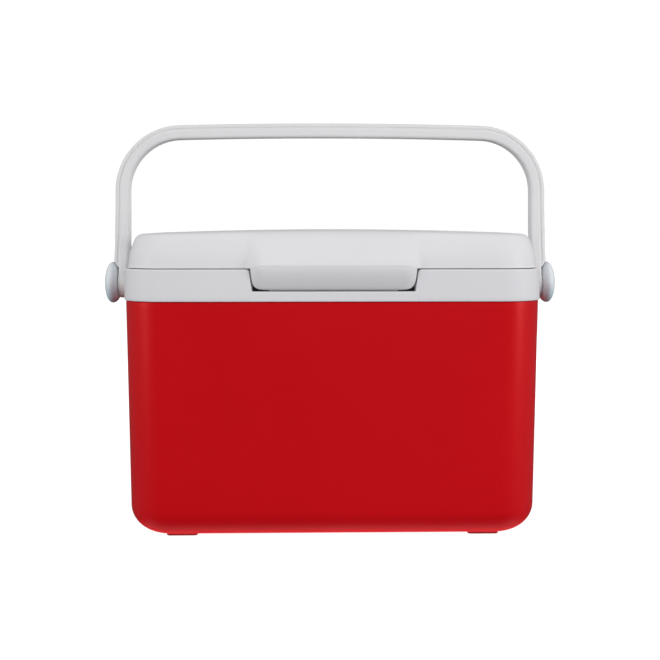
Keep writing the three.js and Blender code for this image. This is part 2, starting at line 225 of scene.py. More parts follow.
def carve(obj, tool, operation):
    """Applies a boolean of obj with tool and removes tool."""
    mod = obj.modifiers.new("carve", "BOOLEAN")
    mod.operation = operation
    mod.solver = "EXACT"
    mod.object = tool
    bpy.context.view_layer.update()
    done = bpy.data.meshes.new_from_object(
        obj.evaluated_get(bpy.context.evaluated_depsgraph_get())
    )
    obj.modifiers.remove(mod)
    old = obj.data
    obj.data = done
    bpy.data.meshes.remove(old)
    bpy.data.objects.remove(tool)
    return obj


# ------------------------------------------------------------------ materials
def node(tree, kind, **values):
    n = tree.nodes.new(kind)
    for key, value in values.items():
        setattr(n, key, value)
    return n


def noise(tree, coords, scale, detail=2.0, rough=0.5, stretch=None):
    if stretch:
        m = node(tree, "ShaderNodeMapping")
        m.inputs["Scale"].default_value = stretch
        tree.links.new(coords, m.inputs["Vector"])
        coords = m.outputs["Vector"]
    n = node(tree, "ShaderNodeTexNoise")
    n.inputs["Scale"].default_value = scale
    n.inputs["Detail"].default_value = detail
    n.inputs["Roughness"].default_value = rough
    tree.links.new(coords, n.inputs["Vector"])
    return n.outputs["Fac"]


def plastic(
    name,
    tones,
    rough=(0.36, 0.46),
    specular=0.2,
    cloud=7.0,
    grain=900.0,
    grain_height=0.00003,
    grain_strength=0.25,
    wave_strength=0.0,
    metallic=0.0,
    painted_shade_bands=None,
    tint=None,
):
    """Moulded plastic: slow clouds of close tones, an uneven polish, and a fine grain with faint flow waves."""
    mat = bpy.data.materials.new(name)
    mat.use_nodes = True
    t = mat.node_tree
    t.nodes.clear()
    out = node(t, "ShaderNodeOutputMaterial")
    bsdf = node(t, "ShaderNodeBsdfPrincipled")
    t.links.new(bsdf.outputs["BSDF"], out.inputs["Surface"])
    bsdf.inputs["Specular IOR Level"].default_value = specular
    bsdf.inputs["Metallic"].default_value = metallic
    if tint:
        bsdf.inputs["Specular Tint"].default_value = (*tint, 1)
    where = node(t, "ShaderNodeTexCoord").outputs["Object"]

    slow = noise(t, where, cloud, 4.0, 0.55)
    ramp = node(t, "ShaderNodeValToRGB")
    ramp.color_ramp.elements[0].position = 0.30
    ramp.color_ramp.elements[1].position = 0.70
    ramp.color_ramp.elements[0].color = (*tones[0], 1)
    ramp.color_ramp.elements[1].color = (*tones[1], 1)
    t.links.new(slow, ramp.inputs["Fac"])
    colour = ramp.outputs["Color"]
    if painted_shade_bands:
        # painted shade: a slow change of tone with height, darker and bluer towards the bottom, standing in for the
        # shade that falls there
        sep = node(t, "ShaderNodeSeparateXYZ")
        t.links.new(where, sep.inputs["Vector"])
        span = node(t, "ShaderNodeMapRange")
        span.inputs["From Min"].default_value = painted_shade_bands[0][0]
        span.inputs["From Max"].default_value = painted_shade_bands[-1][0]
        t.links.new(sep.outputs["Z"], span.inputs["Value"])
        tint = node(t, "ShaderNodeValToRGB")
        el = tint.color_ramp.elements
        while len(el) < len(painted_shade_bands):
            el.new(0.5)
        z0, z1 = painted_shade_bands[0][0], painted_shade_bands[-1][0]
        for e, (z, c) in zip(el, painted_shade_bands):
            e.position = (z - z0) / (z1 - z0)
        for e, (z, c) in zip(tint.color_ramp.elements, painted_shade_bands):
            e.color = (*c, 1)
        t.links.new(span.outputs["Result"], tint.inputs["Fac"])
        mix = node(t, "ShaderNodeMix", data_type="RGBA", blend_type="MULTIPLY")
        mix.inputs["Factor"].default_value = 1.0
        t.links.new(colour, mix.inputs["A"])
        t.links.new(tint.outputs["Color"], mix.inputs["B"])
        colour = mix.outputs["Result"]
    t.links.new(colour, bsdf.inputs["Base Color"])

    polish = noise(t, where, 34.0, 5.0, 0.6)
    spread = node(t, "ShaderNodeMapRange")
    spread.inputs["From Min"].default_value = 0.25
    spread.inputs["From Max"].default_value = 0.75
    spread.inputs["To Min"].default_value = rough[0]
    spread.inputs["To Max"].default_value = rough[1]
    t.links.new(polish, spread.inputs["Value"])
    t.links.new(spread.outputs["Result"], bsdf.inputs["Roughness"])

    fine = noise(t, where, grain, 2.0, 0.5)
    bump = node(t, "ShaderNodeBump")
    bump.inputs["Strength"].default_value = grain_strength
    bump.inputs["Distance"].default_value = grain_height
    t.links.new(fine, bump.inputs["Height"])
    normal = bump.outputs["Normal"]
    if wave_strength:
        flow = noise(t, where, 26.0, 1.5, 0.4)
        sway = node(t, "ShaderNodeBump")
        sway.inputs["Strength"].default_value = wave_strength
        sway.inputs["Distance"].default_value = 0.0004
        t.links.new(flow, sway.inputs["Height"])
        t.links.new(normal, sway.inputs["Normal"])
        normal = sway.outputs["Normal"]
    t.links.new(normal, bsdf.inputs["Normal"])
    return mat


red = plastic(
    "moulded_red",
    [(0.528, 0.0028, 0.0070), (0.560, 0.0036, 0.0086)],
    rough=(0.32, 0.42),
    specular=0.62,
    tint=(1.0, 0.10, 0.08),
    cloud=5.0,
    grain=1400.0,
    grain_strength=0.22,
    wave_strength=0.05,
)
# painted shade: a much darker copy of the body's red, standing in for the shade the feet sit in under the tub
foot_red_shaded = plastic(
    "foot_red_painted_shade",
    [(0.19, 0.0015, 0.003), (0.23, 0.002, 0.004)],
    rough=(0.5, 0.6),
    specular=0.12,
    grain=1800.0,
    grain_strength=0.4,
)
pale_lid = plastic(
    "moulded_pale_lid",
    [(0.694, 0.687, 0.710), (0.717, 0.711, 0.731)],
    rough=(0.36, 0.46),
    specular=0.16,
    cloud=8.0,
    grain=1300.0,
    grain_strength=0.24,
    wave_strength=0.05,
)
pale_collar = plastic(
    "moulded_pale_collar",
    [(0.680, 0.676, 0.705), (0.705, 0.702, 0.728)],
    rough=(0.36, 0.46),
    specular=0.16,
    cloud=8.0,
    grain=1300.0,
    grain_strength=0.24,
    wave_strength=0.05,
)
pale_handle = plastic(
    "moulded_pale_handle",
    [(0.692, 0.692, 0.702), (0.715, 0.714, 0.723)],
    rough=(0.38, 0.50),
    specular=0.18,
    cloud=9.0,
    grain=1200.0,
    grain_strength=0.16,
    wave_strength=0.04,
)
pale_knob = plastic(
    "moulded_pale_knob",
    [(0.704, 0.742, 0.776), (0.728, 0.764, 0.796)],
    rough=(0.26, 0.34),
    specular=0.3,
    cloud=18.0,
    grain=1500.0,
    grain_strength=0.16,
    # painted shade: the knob's base colour turns darker and bluer towards its bottom, for the shade under it
    painted_shade_bands=[(0.205, (0.70, 0.93, 1.0)), (0.213, (0.76, 0.94, 1.0)), (0.226, (0.97, 0.99, 1.0)), (0.247, (1.0, 1.0, 1.0))],
)
white_liner = plastic(
    "moulded_white_liner",
    [(0.80, 0.80, 0.79), (0.845, 0.845, 0.835)],
    rough=(0.34, 0.42),
    specular=0.3,
    cloud=10.0,
    grain=900.0,
    grain_strength=0.12,
    wave_strength=0.02,
)
grey_washer = plastic(
    "moulded_grey_washer",
    [(0.22, 0.225, 0.23), (0.27, 0.275, 0.28)],
    rough=(0.42, 0.55),
    specular=0.35,
    cloud=60.0,
    grain=2200.0,
)
# painted shadow: near-black plastic for the blocks in the notch's corners, standing in for the shade there
notch_shadow_dark = plastic(
    "notch_shadow_dark",
    [(0.016, 0.016, 0.018), (0.026, 0.026, 0.029)],
    rough=(0.6, 0.75),
    specular=0.15,
    cloud=40.0,
    grain=1600.0,
    grain_strength=0.5,
)
steel = plastic(
    "brushed_steel",
    [(0.50, 0.51, 0.52), (0.62, 0.63, 0.64)],
    rough=(0.24, 0.38),
    specular=0.5,
    cloud=300.0,
    grain=2600.0,
    grain_height=0.00001,
    metallic=1.0,
)
foam = plastic(
    "cell_foam",
    [(0.78, 0.68, 0.47), (0.86, 0.77, 0.57)],
    rough=(0.85, 0.95),
    specular=0.1,
    cloud=60.0,
    grain=700.0,
    grain_height=0.0004,
    grain_strength=0.7,
)

# ------------------------------------------------------------------ tub
FOOT_H = 3.3
TOP = {"a": 188.6, "b": 123.4, "z": 213.6}
BOT = {"a": 184.4, "b": 119.2}
RX, RY, RZ = 29.0, 24.0, 24.2
TUB_R = 38.4


def tub():
    edge = mirrored([0, 12, 25, 38, 52, 66, 79.2, 79.5, 95, 110, 125, 138])
    plan = Plan(edge, mirrored([0, 18, 36, 54, 70]), edge, 16, 150.2, 85.0)
    rows = []

    def wall(z, d=0.0):
        k = (z - FOOT_H - RZ) / (TOP["z"] - FOOT_H - RZ)
        a = BOT["a"] + (TOP["a"] - BOT["a"]) * k
        b = BOT["b"] + (TOP["b"] - BOT["b"]) * k
        rows.append(plan.ring(a - d, b - d, TUB_R - d, z))

    def floor_round(inset, lift, n, turn):
        steps = [i / n for i in range(n + 1)]
        for t in steps if turn > 0 else steps[::-1]:
            c = 1 - math.sin(t * math.pi / 2)
            dx, dy = (RX - inset) * c, (RY - inset) * c
            z = FOOT_H + lift + (RZ - lift) * (1 - math.cos(t * math.pi / 2))
            rows.append(
                plan.ring(
                    BOT["a"] - inset - dx,
                    BOT["b"] - inset - dy,
                    TUB_R - inset - (dx + dy) / 2,
                    z,
                )
            )

    for f in (0.15, 0.45, 0.8):
        rows.append(plan.ring((BOT["a"] - RX) * f, (BOT["b"] - RY) * f, 11.9 * f, FOOT_H))
    floor_round(0, 0, 14, 1)
    for z in (36, 50, 70, 92, 114, 136, 158, 180, 198, 208, 212.5):
        wall(z)
    wall(213.2, 0.1)
    wall(213.5, 0.35)
    wall(213.6, 0.7)
    rows.append(plan.ring(186.8, 121.6, 36.6, 213.6))
    rim = [(0.0, 214.2), (0.0, 226), (0.0, 237.2), (0.25, 237.8), (0.8, 238.0), (2.2, 238.0), (2.8, 237.8), (3.0, 237.2), (3.0, 224), (3.0, 212.0)]
    for d, z in rim:
        row = plan.ring(186.7 - d, 121.7 - d, 36.7 - d, z)
        for i, x in enumerate(plan.front):
            if abs(x) < 79.3:  # room for the collar's notch block
                row[i][2] = min(z, 219.4)
        rows.append(row)
    wall(210.2, 2.9)
    for z in (180, 120, 60, 32):
        wall(z, 2.6)
    floor_round(2.6, 2.6, 8, -1)
    for f in (0.6, 0.2):
        rows.append(plan.ring((BOT["a"] - RX) * f, (BOT["b"] - RY) * f, 10 * f, FOOT_H + 2.6))
    return skin(rows)


build("tub_shell", tub(), "base", ["body_shell"], red)


def foot(sx, sy):
    plan = Plan(mirrored([0, 5]), mirrored([0, 4]), mirrored([0, 5]), 6, 11.0, 9.0)
    rows = []
    for d, z in ((1.4, 0.0), (0.75, 0.0), (0.3, 0.14), (0.06, 0.42), (0.0, 0.8), (0.0, 3.0), (0.4, 3.2)):
        rows.append(plan.ring(14 - d, 12 - d, 3.0 - d * 0.8, z) + np.array([sx * 137.0, sy * 82.0, 0]))
    return skin(rows)


for tag, sx, sy in (
    ("front_left", -1, -1),
    ("front_right", 1, -1),
    ("rear_left", -1, 1),
    ("rear_right", 1, 1),
):
    build("foot_pad_" + tag, foot(sx, sy), "base", ["foot_" + tag], foot_red_shaded, 45)

# ------------------------------------------------------------------ collar
COL = {"a": 190.0, "b": 125.0, "z0": 214.0, "z1": 242.5, "r": 40.0}
HINGE_Y, HINGE_Z = 127.2, 243.0

# right half of the notch's edge, from the middle outwards: x and height
NOTCH = [(x, 223.0) for x in (0, 10, 20, 30, 40, 50, 58, 64, 68, 70.4)] + [
    (71.3, 223.03), (71.95, 223.3), (72.3, 223.85), (72.45, 224.7), (72.7, 227.2), (73.1, 230.4),
    (73.55, 233.6), (73.95, 236.6), (74.3, 239.0), (74.5, 240.1), (74.9, 241.1), (75.6, 241.9),
    (76.5, 242.36), (77.5, 242.5), (78.8, 242.5), (79.2, 242.5), (84, 242.5), (92, 242.5), (102, 242.5),
    (114, 242.5), (126, 242.5), (138, 242.5),
]


def both_sides(half, inward):
    """The whole edge from left to right with its normal into the solid. inward is -1 where the solid lies below."""
    pts = [(-x, z) for x, z in reversed(half[1:])] + list(half)
    out = []
    for i, (x, z) in enumerate(pts):
        p = pts[max(i - 1, 0)]
        q = pts[min(i + 1, len(pts) - 1)]
        t = np.array([q[0] - p[0], q[1] - p[1]], float)
        t /= np.linalg.norm(t)
        out.append((x, z, -t[1] * inward, t[0] * inward))
    return out


def hinge_limit(z, r):
    """How far back a wall may reach at height z, beside something of radius r turning on the hinge."""
    dz = z - HINGE_Z
    return HINGE_Y - math.sqrt(r * r - dz * dz) if abs(dz) < r else 1e9


def push_from_hinge(rows, plan, spans, r):
    for row in rows:
        for i in range(plan.back_at, plan.back_at + len(plan.back)):
            x, y, z = row[i]
            if any(p <= abs(x) <= q for p, q in spans):
                row[i][1] = min(y, hinge_limit(z, r))


def collar():
    edge = both_sides(NOTCH, -1)
    back = mirrored([0, 20, 40, 60, 80, 92, 100.7, 100.95, 105, 110, 115, 119.05, 119.3, 128, 139])
    plan = Plan([e[0] for e in edge], mirrored([0, 12, 24, 40, 56, 72]), back, 18, 150.0, 85.0)
    rows = []

    def at(d, z, fx=None):
        """A row inset by d at height z; fx(i) gives the front stations their own x, y, z."""
        r = COL["r"] - d if d <= 12 else 28 - (d - 12) * 2 / 11
        row = plan.ring(COL["a"] - d, COL["b"] - d, r, z)
        if fx:
            for i in range(plan.n_front):
                row[i] = fx(i)
        rows.append(row)

    R = 1.0
    at(2.1, 214.0)
    at(0.8, 214.0)
    at(0.23, 214.23)
    at(0.0, 214.8)
    for g in (0.12, 0.3, 0.5, 0.7, 0.86, 0.96):

        def face(i, g=g):
            x, z, nx, nz = edge[i]
            x1, z1 = x + R * nx, z + R * nz
            return (x + (x1 - x) * g, -COL["b"], 214.8 + (z1 - 214.8) * g)

        at(0.0, 214.8 + (241.5 - 214.8) * g, face)
    for k in range(5):
        t = math.pi / 2 * k / 4
        e, d = R * (1 - math.sin(t)), R * (1 - math.cos(t))

        def turn(i, e=e, d=d):
            x, z, nx, nz = edge[i]
            return (x + e * nx, -COL["b"] + d, z + e * nz)

        at(d, 242.5 - e, turn)
    for g in (0.25, 0.5, 0.75, 0.95, 1.0):
        d = R + (8.0 - R) * g

        def ledge(i, d=d):
            x, z, nx, nz = edge[i]
            return (x, -COL["b"] + d, z)

        at(d, 242.5, ledge)
    for g in (0.06, 0.3, 0.6, 0.9, 1.0):
        d = 8.0 + 0.35 * g + (0.25 if g == 1.0 else 0)

        def rise(i, g=g, d=d):
            x, z, nx, nz = edge[i]
            return (x, -COL["b"] + d, z + (242.5 - z) * g)

        at(d, 242.5, rise)
    for d, z in ((12, 242.5), (17, 242.5), (21.6, 242.5), (22.4, 242.35), (22.85, 241.95), (23.0, 241.3), (23.0, 240.3), (22.7, 239.75), (22.0, 239.5)):
        at(d, z)
    at(11.2, 239.5)

    def inner(i, low):
        x = edge[i][0]
        if abs(x) <= 79.0:
            return (x, -113.8 if low == 0 else -122.0, 219.8)
        return (x, -COL["b"] + (5.0 if low == 0 else 3.0), 239.5 if low == 0 else 238.4)

    at(5.0, 239.5, lambda i: inner(i, 0))
    at(3.0, 238.4, lambda i: inner(i, 1))
    at(3.0, 216.0)
    at(2.8, 214.3)
    push_from_hinge(rows, plan, [(100.9, 119.1)], 5.4)
    return skin(rows, wrap=True)


build("rim_collar", collar(), "base", ["collar"], pale_collar)


# dark blocks in the notch's lower corners, behind the ends of the lid's lip: painted shadow, standing in for the shade
# in the gaps beside the lip's rounded corners
NOTCH_SHADOW_BLOCK = [(-117.5, 223.4), (-117.0, 223.05), (-116.8, 223.05), (-116.8, 231.0), (-117.2, 231.0), (-117.5, 230.6), (-117.5, 229), (-117.5, 226)]
build(
    "notch_shadow_blocks",
    merge(extrude_x(NOTCH_SHADOW_BLOCK, 57.0, 72.0, 0.2), extrude_x(NOTCH_SHADOW_BLOCK, -72.0, -57.0, 0.2)),
    "base",
    [],
    notch_shadow_dark,
    45,
)


def arc(cy, cz, r, t0, t1, n):
    return [
        (cy + r * math.cos(math.radians(t0 + (t1 - t0) * i / n)), cz + r * math.sin(math.radians(t0 + (t1 - t0) * i / n)))
        for i in range(n + 1)
    ]


LUG = [(123.4, 231.6), (124.9, 231.6)] + [(126.6, 234.8)] + arc(HINGE_Y, HINGE_Z, 4.6, -42, 180, 20) + [(122.6, 238), (122.6, 234)]
parts = []
for p, q in ((90.0, 101.0), (119.0, 130.0)):
    parts += [extrude_x(LUG, p, q), extrude_x(LUG, -q, -p)]
build("hinge_lugs", merge(*parts), "base", [], pale_collar, 45)

for tag, s in (("left", -1), ("right", 1)):
    pin = [(0.0, 89.7), (1.0, 89.75), (1.7, 90.1), (2.0, 90.7), (2.0, 100), (2.0, 110), (2.0, 120), (2.0, 129.3), (1.7, 129.9), (1.0, 130.25), (0.0, 130.3)]
    rows = []
    for r, x in pin:
        r = max(r, 0.05)
        rows.append([(s * x, HINGE_Y + r * math.sin(2 * math.pi * i / 24), HINGE_Z + r * math.cos(2 * math.pi * i / 24)) for i in range(24)])
    build("hinge_rod_" + tag, skin(rows), "base", ["hinge_pin_" + tag], steel, 50)


# ------------------------------------------------------------------ liner
def liner():
    edge = mirrored([0, 20, 40, 60, 80, 100, 120])
    plan = Plan(edge, mirrored([0, 20, 40, 60]), edge, 14, 141.5, 76.5)
    rows = []

    def cavity(grow, drop, steps):
        for t in steps:
            c = 1 - math.sin(t * math.pi / 2)
            w = (24 + grow) * c
            rows.append(plan.ring(161.5 + grow - w, 96.5 + grow - w, 26 + grow * 0.5 - w * 0.7, 23 - drop + (24 + drop) * (1 - math.cos(t * math.pi / 2))))

    def side(grow, z):
        k = (z - 47) / (239.2 - 47)
        rows.append(plan.ring(161.5 + 6 * k + grow, 96.5 + 6 * k + grow, 26 + grow * 0.5, z))

    for f in (0.2, 0.7):
        rows.append(plan.ring(135 * f, 70 * f, 6 * f, 21))
    cavity(2, 2, [i / 10 for i in range(11)])
    for z in (80, 130, 180, 225, 236.2):
        side(2, z)
    for a, b, r, z in ((176.3, 111.3, 34.8, 237.0), (176.5, 111.5, 35.0, 237.3), (176.5, 111.5, 35, 238.8), (176.3, 111.3, 34.8, 239.2), (171.5, 106.5, 30.0, 239.2), (168.9, 103.9, 27.4, 239.2), (167.9, 102.9, 26.3, 238.8)):
        rows.append(plan.ring(a, b, r, z))
    for z in (237.6, 225, 180, 130, 80):
        side(0, z)
    cavity(0, 0, [i / 14 for i in range(14, -1, -1)])
    for f in (0.75, 0.4, 0.12):
        rows.append(plan.ring(137.5 * f, 72.5 * f, 6 * f, 23))
    return skin(rows)


build("cavity_liner", liner(), "base", ["inner_liner"], white_liner)

# ------------------------------------------------------------------ lid
LID = {"a": 186.8, "b": 123.2, "r": 38.0}
ROOF = 274.4
side_inset = smooth_curve([(243.0, 0), (252, 0.8), (258, 2), (263, 3.6), (267.5, 5.1), (270.5, 6.8), (272.6, 8.9), (273.7, 11.5), (274.2, 15), (ROOF, 20)])
crown_share = smooth_curve([(243.0, 0), (258, 0), (263, 0.054), (267.5, 0.153), (270.5, 0.28), (272.6, 0.432), (273.7, 0.604), (274.2, 0.794), (ROOF, 1.0)])
swell = smooth_curve([(243.0, 131.9), (246.1, 131.8), (250, 130.3), (255, 127.7), (260, 124.9), (265, 121.8), (269.2, 118.6), (271.5, 116.3), (273.0, 113.6), (274.0, 110.0), (ROOF, 103.3)])
lip_face = smooth_curve([(246.5, 131.8), (243.5, 131.7), (240, 131.1), (236, 129.9), (232, 128.3), (228, 126.3), (225.5, 124.9), (224.2, 123.5)])

SKIRT = 243.15
LIP = [(x, 224.2) for x in (0, 10, 20, 30, 40, 48, 55)] + [
    (58, 224.22), (61, 224.32), (63.2, 224.5), (65.2, 224.85), (67, 225.3), (68.6, 226.0), (69.9, 226.95), (71.0, 228.2),
    (71.75, 229.6), (72.25, 231.2), (72.6, 233.2), (72.85, 235.4), (73.1, 237.8), (73.35, 240.4), (73.5, 242.2), (73.62, SKIRT),
    (74.2, SKIRT), (75.0, SKIRT), (76.0, SKIRT), (77.2, SKIRT), (78.4, SKIRT), (79.6, SKIRT), (81, SKIRT), (86, SKIRT),
    (94, SKIRT), (104, SKIRT), (116, SKIRT), (128, SKIRT), (140, SKIRT),
]


def swell_share(x):
    x = abs(x)
    if x <= 62:
        return 1.0
    if x <= 73:
        return 1 - 0.6286 * ((x - 62) / 11) ** 2
    return 0.3714 * ((79.5 - min(x, 79.5)) / 6.5) ** 2


def crown(x):
    return 3.5 * (1 - min(abs(x) / 168, 1) ** 1.8)


def crease(x):
    return 246.1 - 2.0 * min(abs(x) / 73.6, 1) ** 2


def lid():
    edge = both_sides(LIP, 1)
    back = mirrored([0, 20, 40, 60, 78, 88.9, 89.4, 94, 101.4, 101.6, 110, 118.4, 118.6, 124, 130.6, 131.1, 140])
    plan = Plan([e[0] for e in edge], mirrored([0, 12, 24, 40, 56, 72]), back, 18, 150.6, 85.2)
    rows = []

    def at(d, z, fx=None, rise=0.0, shrink=0.0):
        row = plan.ring(LID["a"] - d, LID["b"] - d, LID["r"] - d, z)
        if fx:
            for i in range(plan.n_front):
                row[i] = fx(i)
        if rise:
            for p in row:
                p[2] += rise * crown(p[0])
        rows.append(row)
        return row

    # inner side, from the middle of the roof down to the skirt
    for f in (0.12, 0.4, 0.7):
        row = plan.ring((LID["a"] - 24) * f, (LID["b"] - 24) * f, 16 * f, ROOF - 2.4)
        for p in row:
            p[2] += crown(p[0])
        rows.append(row)
    for z in (ROOF, 274.2, 273.7, 272.6, 270.5, 267.5, 263, 258, 252, 247):
        d = side_inset(z) + 2.4
        low = z - 2.4 * min(1, max(0, (z - 261) / 10))
        at(d, low, rise=crown_share(z))

    def tab(i, what):
        """The underside of the skirt and, in the middle of the front, the lip's back and underside."""
        x, z, nx, nz = edge[i]
        front = LID["b"] + 8.7 * swell_share(x)
        if abs(x) < 73.7:
            lip = lip_face(z) - 8.7 * (1 - swell_share(x))
            return {
                "neck": (x, -120.8, 243.9),
                "shelf": (x, -118.7, 243.5),
                "back": (x, -118.4, min(z + 0.8, 243.4)),
                "heel": (x, -119.2, z),
                "sole": (x, -max(lip - radius(x), 120.0), z),
            }[what]
        return {
            "neck": (x, -120.8, 243.9),
            "shelf": (x, -121.0, SKIRT + 0.15),
            "back": (x, -121.4, SKIRT),
            "heel": (x, -122.1, SKIRT),
            "sole": (x, -(front - 0.5), SKIRT),
        }[what]

    def radius(x):
        x = abs(x)
        return 1.2 if x < 71 else (0.9 if x < 73.7 else 0.5)

    at(2.4, 243.9, lambda i: tab(i, "neck"))
    at(2.2, SKIRT + 0.15, lambda i: tab(i, "shelf"))
    at(1.8, SKIRT, lambda i: tab(i, "back"))
    at(1.1, SKIRT, lambda i: tab(i, "heel"))

    def front_y(x, z):
        zc = crease(x)
        if z < zc:
            return lip_face(z) - 8.7 * (1 - swell_share(x))
        plain = LID["b"] - side_inset(z)
        return plain + max(swell(z) - plain, 0) * swell_share(x)

    n_round = 5
    for k in range(n_round):
        t = math.pi / 2 * k / (n_round - 1)

        def roll(i, t=t):
            x, z, nx, nz = edge[i]
            R = radius(x)
            e, d = R * (1 - math.cos(t)), R * (1 - math.sin(t))
            px, pz = x + e * nx, z + e * nz
            return (px, -(front_y(px, pz) - d), pz)

        e, d = 0.5 * (1 - math.cos(t)), 0.5 * (1 - math.sin(t))
        at(d, SKIRT + e, roll)
    # up the lip's face to the crease
    for g in (0.1, 0.22, 0.36, 0.5, 0.64, 0.78, 0.9, 0.97, 1.0):

        def face(i, g=g):
            x, z, nx, nz = edge[i]
            R = radius(x)
            x0, z0 = x + R * nx, z + R * nz
            zc = max(crease(x), z0 + 0.25)
            px, pz = x0 + (x - x0) * g, z0 + (zc - z0) * g
            y = front_y(px, pz)
            if g == 1.0:
                y -= 0.30 * math.exp(-(((abs(x) - 57) / 11) ** 4))
            return (px, -y, pz)

        at(0.0, SKIRT + 0.5 + 0.6 * g, face)
    # above the crease: the swelling in the middle, the plain side elsewhere
    for u in (0.012, 0.035, 0.08, 0.14, 0.21, 0.29, 0.37, 0.45, 0.53, 0.61, 0.68, 0.75, 0.81, 0.86, 0.905, 0.935, 0.957, 0.975, 0.987, 0.995, 1.0):

        def bulge(i, u=u):
            x = edge[i][0]
            zc = max(crease(x), 244.25)
            z = zc + (ROOF - zc) * u
            return (x, -front_y(x, z), z)

        z = 244.35 + (ROOF - 244.35) * u
        row = at(side_inset(z), z, bulge)
        for p in row:
            p[2] += crown_share(p[2]) * crown(p[0])
    # roof
    for d, lift in ((24, 0.12), (28, 0.22), (33, 0.3)):
        at(d, ROOF + lift, rise=1.0)
    for f in (0.86, 0.72, 0.58, 0.45, 0.32, 0.2, 0.1):
        row = plan.ring(153.8 * f, 90.2 * f, 5 * f, ROOF + 0.35)
        for p in row:
            p[2] += crown(p[0])
        rows.append(row)
    push_from_hinge(rows, plan, [(89.3, 101.5), (118.5, 130.7)], 5.4)
    return skin(rows)


build("lid_cover", lid(), "lid", ["lid_shell"], pale_lid, 40)

KNUCKLE = [(122.0, 243.9), (122.6, 243.0)] + arc(HINGE_Y, HINGE_Z, 4.6, 196, 450, 24) + [(124.6, 249.2), (122.0, 250.6)]
build(
    "lid_knuckles",
    merge(extrude_x(KNUCKLE, 101.5, 118.5), extrude_x(KNUCKLE, -118.5, -101.5)),
    "lid",
    [],
    pale_lid,
    45,
)


def lid_plate():
    edge = mirrored([0, 20, 40, 60, 80, 89.0, 89.4, 101.4, 101.7, 118.3, 118.6, 130.6, 131.0])
    plan = Plan(edge, mirrored([0, 20, 40, 60]), edge, 14, 147.3, 81.9)
    rows = []
    A, B, R0 = 183.5, 119.9, 38.0
    for f in (0.15, 0.5, 0.8):
        rows.append(plan.ring(163 * f, 98 * f, 22 * f, 234.0))
    for d, z in ((2.6, 234.0), (2.2, 234.2), (2.0, 234.8), (2.0, 245.4)):
        rows.append(plan.ring(165.5 - d, 100.5 - d, 24 - d, z))
    for d, z in ((16, 246.0), (2, 246.0), (0.3, 245.9), (0, 245.6), (0, 244.3), (0.15, 243.95), (0.6, 243.8), (9.0, 243.8)):
        rows.append(plan.ring(A - d, B - d, R0 - d * 0.75, z))
    for d, z in ((-1.2, 243.8), (-0.5, 243.5), (-0.1, 242.9), (0, 242.2), (0, 235.2), (0.35, 233.6), (1.3, 232.5), (2.8, 232.0), (6, 232.0)):
        rows.append(plan.ring(165.5 - d, 100.5 - d, 24 - d, z))
    # a shallow raised panel, as liners are stiffened
    for d, z in ((15, 232.0), (17.5, 232.9), (20, 233.1)):
        rows.append(plan.ring(165.5 - d, 100.5 - d, max(24 - d, 8), z))
    for f in (0.8, 0.5, 0.2):
        rows.append(plan.ring(145 * f, 80 * f, 8 * f, 233.1))
    return skin(rows)


build("lid_inner_plate", lid_plate(), "lid", ["lid_liner"], white_liner)

# ------------------------------------------------------------------ bail handle
OUT, FLARE, INN, BTOP, BUNDER, BCROWN, RO, RI = 213.9, 214.9, 200.0, 384.3, 370.3, 2.0, 65.0, 51.0
HALF = 8.5
PIVOT_Z = 226.0


